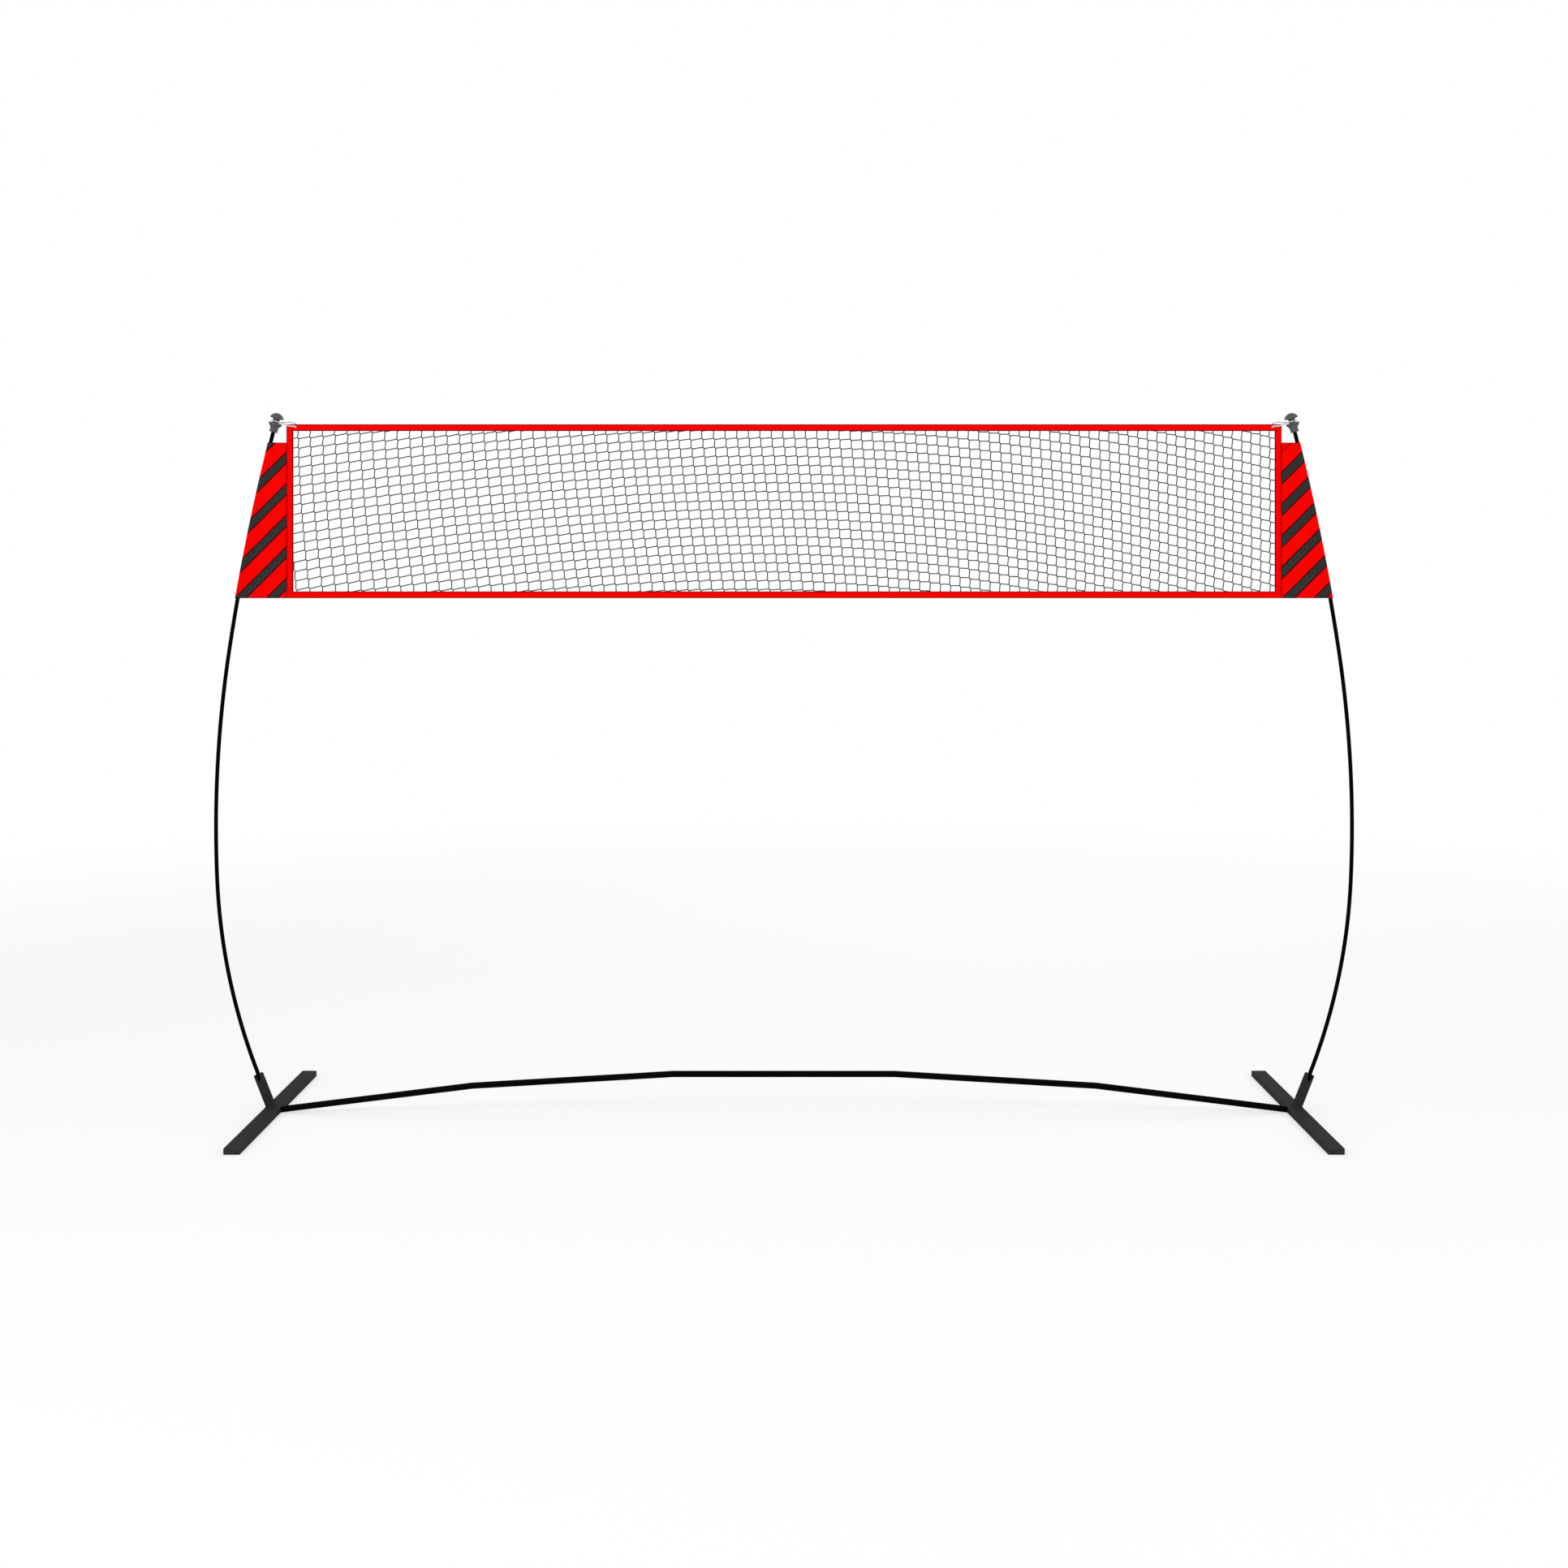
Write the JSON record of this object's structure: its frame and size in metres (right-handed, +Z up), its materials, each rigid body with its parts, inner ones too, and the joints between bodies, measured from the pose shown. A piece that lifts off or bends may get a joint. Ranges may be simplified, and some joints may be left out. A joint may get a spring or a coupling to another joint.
{
  "type": "volleyball net",
  "caption": "Free-standing volleyball net between two bowed poles on flat feet, joined by an arched crossbar of plugged tubes, with striped side panels and elastic corner loops.",
  "frame": {"origin": "ground level, midway between the two feet, in the plane of the net", "axes": "+X along the net to the right seen from the front, -Y towards the front, +Z up"},
  "size_m": [4.0236, 1, 2.4696],
  "materials": {
    "foot_coating": "dark grey powder coat on steel",
    "crossbar_coating": "black powder coat on steel tube",
    "pole_fibreglass": "black pultruded fibreglass, smooth",
    "cap_nylon": "mid grey moulded nylon, fine texture",
    "black_plastic": "black moulded plastic",
    "zinc_steel": "zinc plated steel",
    "red_enamel": "red enamel on brass, as the tapes",
    "shock_cord": "black elastic cord, braided cover",
    "white_cord": "white elastic cord, braided cover",
    "red_webbing": "red polyester webbing, sewn",
    "striped_cloth": "red polyester cloth with dark slanting stripes",
    "net_cord": "grey polyethylene twine, knitted without knots"
  },
  "bodies": {
    "root": {"foot_bar_left": "foot_coating", "foot_bar_right": "foot_coating", "pole_socket_left": "foot_coating", "pole_socket_right": "foot_coating", "crossbar_stub_left": "foot_coating", "crossbar_stub_right": "foot_coating", "crossbar_centre": "crossbar_coating", "crossbar_inner_left": "crossbar_coating", "crossbar_inner_right": "crossbar_coating", "crossbar_outer_left": "crossbar_coating", "crossbar_outer_right": "crossbar_coating", "pole_lower_left": "pole_fibreglass", "pole_lower_right": "pole_fibreglass", "pole_middle_left": "pole_fibreglass", "pole_middle_right": "pole_fibreglass", "pole_upper_left": "pole_fibreglass", "pole_upper_right": "pole_fibreglass", "ball_cap_left": "cap_nylon", "ball_cap_right": "cap_nylon", "foot_end_caps_left": "black_plastic", "foot_end_caps_right": "black_plastic", "socket_bush_left": "black_plastic", "socket_bush_right": "black_plastic", "pole_plugs_left": "black_plastic", "pole_plugs_right": "black_plastic", "crossbar_cord_anchors": "black_plastic", "button_spring_left": "zinc_steel", "button_spring_right": "zinc_steel", "pole_ferrules_left": "zinc_steel", "pole_ferrules_right": "zinc_steel", "crossbar_inner_joiner_left": "zinc_steel", "crossbar_inner_joiner_right": "zinc_steel", "crossbar_outer_joiner_left": "zinc_steel", "crossbar_outer_joiner_right": "zinc_steel", "corner_eyelets": "red_enamel", "pole_shock_cord_left": "shock_cord", "pole_shock_cord_right": "shock_cord", "crossbar_shock_cord": "shock_cord", "corner_loop_left": "white_cord", "corner_loop_right": "white_cord", "top_tape": "red_webbing", "bottom_tape": "red_webbing", "side_tape_left": "red_webbing", "side_tape_right": "red_webbing", "side_panel_left": "striped_cloth", "side_panel_right": "striped_cloth", "net_mesh": "net_cord"},
    "button_left": {"snap_button_left": "zinc_steel"},
    "button_right": {"snap_button_right": "zinc_steel"}
  },
  "joints": [
    {"name": "button_press_left", "type": "slide", "parent": "root", "child": "button_left", "axis": [0, -1, 0], "range_m": [0, 0.0042], "stiffness_N_per_m": 500, "springref_m": -0.006, "deforming": ["button_spring_left"]},
    {"name": "button_press_right", "type": "slide", "parent": "root", "child": "button_right", "axis": [0, -1, 0], "range_m": [0, 0.0042], "stiffness_N_per_m": 500, "springref_m": -0.006, "deforming": ["button_spring_right"]}
  ]
}
